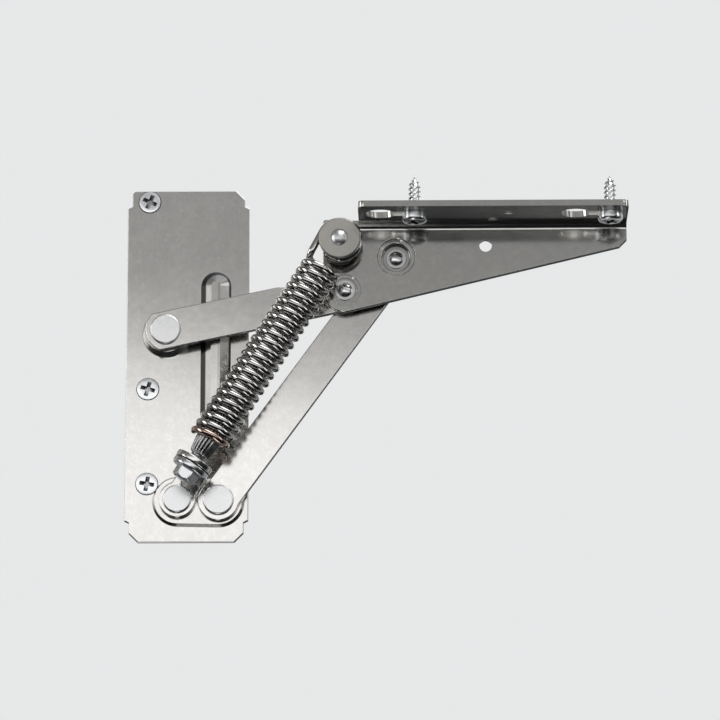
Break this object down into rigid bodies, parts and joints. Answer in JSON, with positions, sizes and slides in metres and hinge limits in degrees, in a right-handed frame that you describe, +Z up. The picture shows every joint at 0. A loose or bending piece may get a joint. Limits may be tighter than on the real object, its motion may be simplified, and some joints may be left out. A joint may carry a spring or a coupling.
{
  "type": "lid stay",
  "caption": "Swing-up lid stay: a panel plate, two riveted arms and an angled lid bracket, held open by an adjustable tension coil spring.",
  "frame": {"origin": "midway between the two outer panel screws, on the back face of the mounting plate", "axes": "+X out of the cabinet along the open lid, +Y into the cabinet side panel, +Z up"},
  "size_m": [0.1653, 0.0438, 0.1193],
  "materials": {
    "plate_zinc": "bright zinc plating, faint rolled grain",
    "arm_zinc": "bright zinc plating, satin",
    "bracket_zinc": "bright nickel plating, satin on the flat, glossy at the bend",
    "link_zinc": "bright zinc plating",
    "rivet_steel": "plated, tumbled",
    "pin_steel": "turned, satin",
    "screw_zinc": "bright zinc plating",
    "adjuster_steel": "bright zinc plating",
    "plug_steel": "dark oiled steel",
    "spring_wire": "polished nickel-plated spring wire"
  },
  "bodies": {
    "plate": {"mounting_plate": "plate_zinc", "panel_screw_top": "screw_zinc", "panel_screw_middle": "screw_zinc", "panel_screw_bottom": "screw_zinc", "upper_pivot_rivet": "rivet_steel", "lower_pivot_rivet": "rivet_steel", "link_pivot_rivet": "rivet_steel"},
    "upper_arm": {"upper_arm": "arm_zinc", "rear_joint_rivet": "rivet_steel"},
    "lower_arm": {"lower_arm": "arm_zinc", "front_joint_tail": "rivet_steel"},
    "bracket": {"flap_bracket": "bracket_zinc", "front_joint_rivet": "rivet_steel", "spring_pin": "rivet_steel", "pin_sleeve": "pin_steel", "pin_disc": "pin_steel", "lid_screw_inner": "screw_zinc", "lid_screw_outer": "screw_zinc"},
    "spring_link": {"spring_link": "link_zinc"},
    "adjuster": {"adjusting_screw": "adjuster_steel", "adjuster_washer": "adjuster_steel"},
    "plug": {"spring_plug": "plug_steel"},
    "spring_top": {"coil_spring": "spring_wire"}
  },
  "joints": [
    {"name": "upper_arm_swing", "type": "hinge", "parent": "plate", "child": "upper_arm", "pos_m": [0.006, 0, 0.0026], "axis": [0, 1, 0], "range_deg": [-67.77, 0]},
    {"name": "lid_fold", "type": "hinge", "parent": "upper_arm", "child": "bracket", "pos_m": [0.0651, 0, 0.0152], "axis": [0, 1, 0], "range_deg": [0, 157.72], "stiffness_Nm_per_rad": 0.12, "springref_deg": -114.59},
    {"name": "lower_arm_swing", "type": "hinge", "parent": "plate", "child": "lower_arm", "pos_m": [0.0237, 0, -0.0543], "axis": [0, 1, 0], "range_deg": [-33.45, 0]},
    {"name": "spring_swing", "type": "hinge", "parent": "plate", "child": "spring_link", "pos_m": [0.0102, 0, -0.054], "axis": [0, 1, 0], "range_deg": [-21.93, 0]},
    {"name": "spring_stretch", "type": "slide", "parent": "spring_link", "child": "spring_top", "axis": [0.5344, 0, 0.8452], "range_m": [0, 0.01995], "deforming": ["coil_spring"]},
    {"name": "adjuster_turn", "type": "hinge", "parent": "spring_link", "child": "adjuster", "pos_m": [0.0102, -0.0176, -0.054], "axis": [0.5344, 0, 0.8452], "range_deg": [-722, 722]},
    {"name": "plug_travel", "type": "slide", "parent": "spring_link", "child": "plug", "axis": [0.5344, 0, 0.8452], "range_m": [-0.0016, 0.0016]}
  ],
  "couplings": [
    {"joint": "upper_arm_swing", "follows": "lid_fold", "ratio": -0.42938},
    {"joint": "lower_arm_swing", "follows": "lid_fold", "ratio": -0.21178},
    {"joint": "spring_swing", "follows": "lid_fold", "ratio": -0.13873},
    {"joint": "spring_stretch", "follows": "lid_fold", "m_per_rad": 0.0072301},
    {"joint": "adjuster_turn", "follows": "plug_travel", "rad_per_m": -7854}
  ]
}
